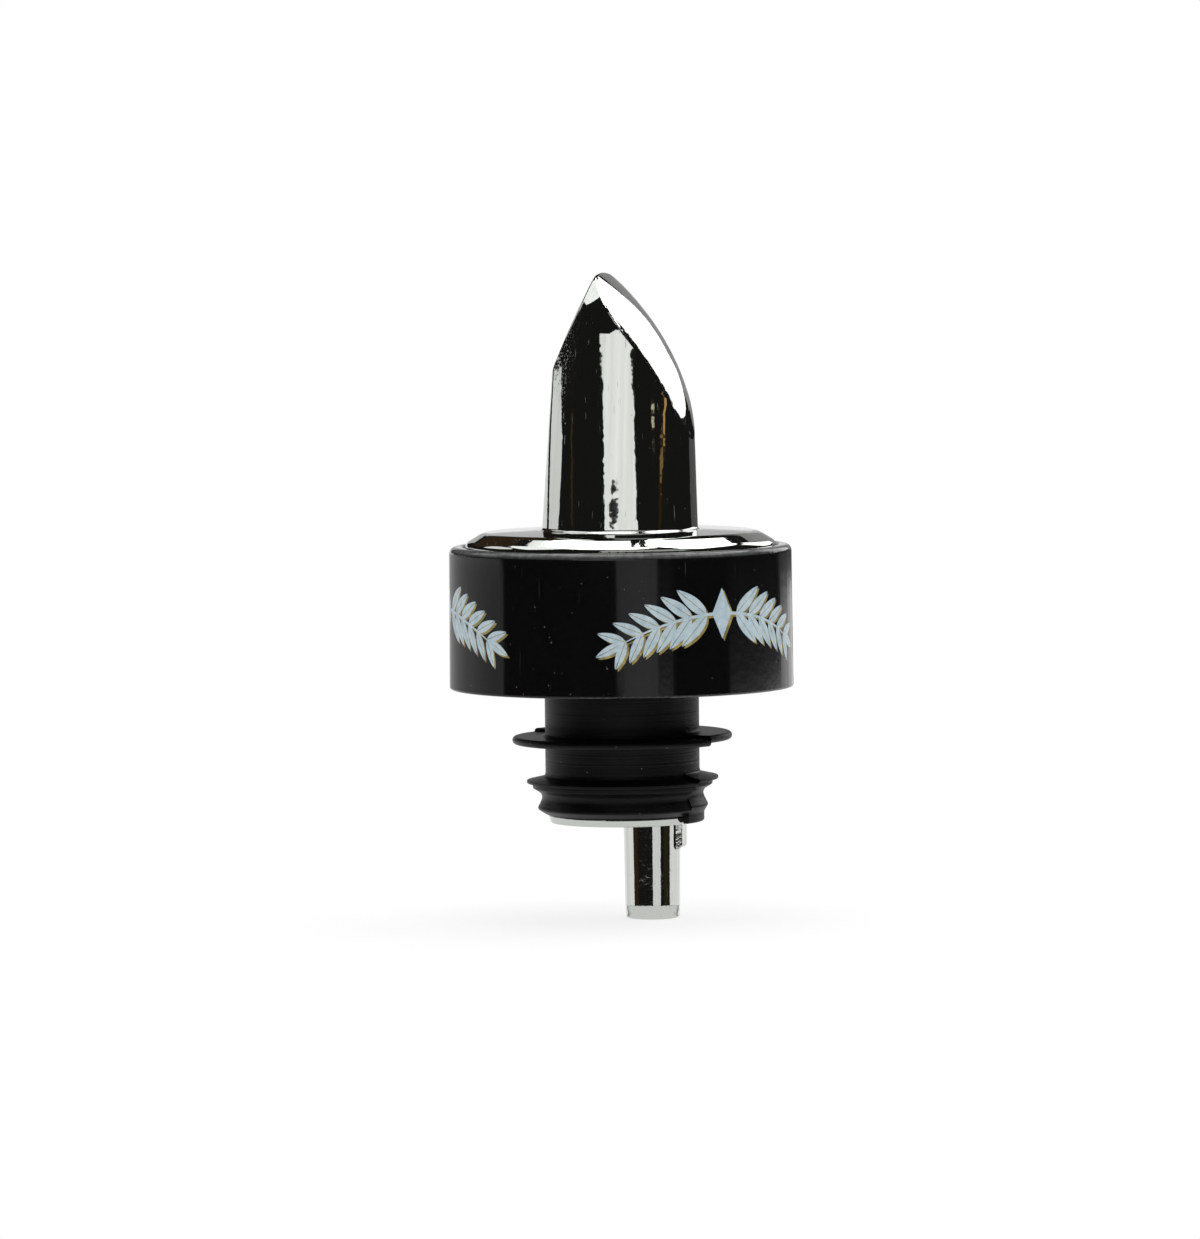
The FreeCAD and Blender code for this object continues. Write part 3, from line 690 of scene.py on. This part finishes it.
# %% Lights behind and above
panel("paper at the right", slab(124, -6.3, 94, 5.6), 1.0)
panel("soft box overhead at the left", [
    (-157, 49), (-150, 54), (-138, 60), (-125, 66), (-90, 67), (-30, 65), (20, 67), (60, 76), (169.5, 76),
    (169.5, 90), (-190.5, 90), (-190.5, 64), (-180, 55), (-170, 47)], 3.0)
panel("soft box overhead at the right", [
    (167, 64), (150, 72), (107, 74), (75, 66), (58, 50), (75, 42), (98, 44), (135, 41), (156, 39),
    (160, 50)], 3.0)
panel("rear soft box", [
    (152, 37), (127, 37), (126, 28), (126, 25), (127, 21.5), (128, 18), (131, 14.4), (132, 11.4), (138, 8),
    (143, 7), (148, 6.6), (154, 6.5), (158.6, 6.7), (161, 7.3), (160, 9.5), (161, 10.6), (161.5, 12.4),
    (159.4, 16), (157.5, 20), (156, 24)], 1.8)
panel("window high at the left", [
    (-76, 56), (-80, 48), (-88, 41), (-118, 45), (-150, 43), (-158, 50), (-150, 66), (-120, 72),
    (-84, 68)], 1.4)
panel("small window at the left", [
    (-133, 22), (-141, 34), (-138, 39), (-128, 42), (-112, 43), (-102, 36), (-112, 27)], 1.0)

# %% Walls and boards behind
BEHIND_THE_BOX, BEHIND_THE_WINDOW = 1.52, 1.55      # metres
panel("brown wall behind", [(-140, 18), (-175, 18), (-175, 42), (-150, 42)], 0.1, "#A08060",
      distance=BEHIND_THE_WINDOW)
panel("pale wall behind", slab(-177, 9, 20, 12), 0.5)
panel("grey board", slab(150, -0.7, 36, 4), 0.1)
panel("far edge of the paper", slab(152, -3.1, 34, 0.8), 1.0)
panel("grey board behind", [(158, -2), (173.5, -2), (173.5, 24), (158, 30)], 0.3, distance=BEHIND_THE_BOX)

# %% Small things that stood near, as warm lines
for name, outline, strength, tint in (
        ("brass rail top", [(64.5, 36.8), (70.5, 36.5), (70.5, 39), (64.5, 39)], 0.9, "#F2E2BE"),
        ("brass rail", [(67.6, 36.6), (71.2, 36.4), (71.8, 34.5), (71, 29.5), (67.6, 29.9), (68.4, 34.8)],
         0.7, "#EDBB73"),
        ("brass rail lower", [(62.5, 30.4), (67.5, 29.8), (67, 26.7), (63.6, 24.4), (60.4, 25.1), (61, 28)],
         0.32, "#EDB873"),
        ("brass rail foot", [(59.4, 25.2), (64.6, 24.4), (61.5, 18), (58, 18)], 0.08, "#B08850"),
        ("brass knob", [(46.5, 36.6), (52, 36.2), (51, 35.2), (47.5, 35.4)], 1.0, "#F4EBC8"),
        ("brass knob's foot", [(48, 34.9), (52.4, 34.7), (52, 33.5), (48.5, 33.9)], 1.0, "#F4EBC8"),
        ("wooden edge", [(-88, 43.7), (-84.6, 44), (-73, 29.2), (-75.8, 28.8)], 0.2, "#8A6A40")):
    panel(name, outline, strength, tint, distance=NEAR)

# %% [markdown]
# ## The room and the floor
#
# The ground of the photograph is plain white. It could be got by more light, but that would bleach the
# pourer. So the room shows itself in three ways: white to the camera, a soft even light to every matt
# surface, and to a mirror a dark room with a pale table, whose far edge lies about eight degrees below level.
#
# The floor is a sheet of matt paper that keeps the soft shadow below the tube. Towards its rim it fades into
# a plain white glow that only the camera sees, and mirrors leave it out, because the room gives them their
# table.

# %% Room
TABLE_EDGE, TABLE_FULL = -0.13, -0.17      # sines of the elevation
SOFT_LIGHT = 0.6

world = bpy.data.worlds.new("dark room")
bpy.context.scene.world = world
world.use_nodes = True
tree = world.node_tree
tree.nodes.clear()
path = add(tree, "ShaderNodeLightPath")
where = add(tree, "ShaderNodeTexCoord").outputs["Generated"]
level = add(tree, "ShaderNodeSeparateXYZ", {0: where}).outputs["Z"]
table = add(tree, "ShaderNodeMapRange", {"Value": level, "From Min": TABLE_EDGE, "From Max": TABLE_FULL})
mirrored = add(tree, "ShaderNodeMix", {0: table, 6: colour("#1B1B1A"), 7: colour("#EDEDED")},
               data_type="RGBA")
dark = add(tree, "ShaderNodeBackground", {"Color": mirrored.outputs[2], "Strength": 1.0})
soft = add(tree, "ShaderNodeBackground", {"Color": colour("#FFFFFF"), "Strength": SOFT_LIGHT})
white = add(tree, "ShaderNodeBackground", {"Color": colour("#FFFFFF"), "Strength": 1.0})
lit = add(tree, "ShaderNodeMixShader", {0: path.outputs["Is Glossy Ray"], 1: soft, 2: dark})
shown = add(tree, "ShaderNodeMixShader", {0: path.outputs["Is Camera Ray"], 1: lit, 2: white})
add(tree, "ShaderNodeOutputWorld", {"Surface": shown})
print(f"table edge {-math.degrees(math.asin(TABLE_EDGE)):.1f} degrees below level")

# %% Floor
FLOOR_SIZE = 3                             # metres
FADE_BEGINS, FADE_FULL = 0.02, 0.25        # metres from the axis
GLOW_NEAR, GLOW_FAR = 0.8, 1.0             # share of the glow in what the camera sees

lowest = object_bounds()[0].z
bpy.ops.mesh.primitive_plane_add(size=FLOOR_SIZE, location=(0, 0, lowest))
floor = bpy.context.object
floor.name = "floor"
floor_paper = bpy.data.materials.new("white floor paper")
floor_paper.use_nodes = True
tree = floor_paper.node_tree
tree.nodes.clear()
path = add(tree, "ShaderNodeLightPath")
place = add(tree, "ShaderNodeTexCoord").outputs["Object"]
away = add(tree, "ShaderNodeVectorMath", {0: place}, operation="LENGTH").outputs["Value"]
fade = add(tree, "ShaderNodeMapRange", {"Value": away, "From Min": FADE_BEGINS, "From Max": FADE_FULL,
                                        "To Min": GLOW_NEAR, "To Max": GLOW_FAR})
matt = add(tree, "ShaderNodeBsdfDiffuse", {"Color": colour("#F4F4F4")})
glow = add(tree, "ShaderNodeEmission", {"Strength": 1.0})
faded = add(tree, "ShaderNodeMixShader", {0: fade, 1: matt, 2: glow})
shown = add(tree, "ShaderNodeMixShader", {0: path.outputs["Is Camera Ray"], 1: matt, 2: faded})
add(tree, "ShaderNodeOutputMaterial", {"Surface": shown})
floor.data.materials.append(floor_paper)
floor.visible_glossy = False
floor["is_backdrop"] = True
print(f"floor at z {lowest / MM:.1f} mm")

# %% [markdown]
# ## Finish
#
# The colours are shown with the Standard view transform. Nothing that was added may make the pourer larger
# than its CAD model.

# %% Finish
bpy.context.scene.view_settings.view_transform = "Standard"
bpy.context.view_layer.update()
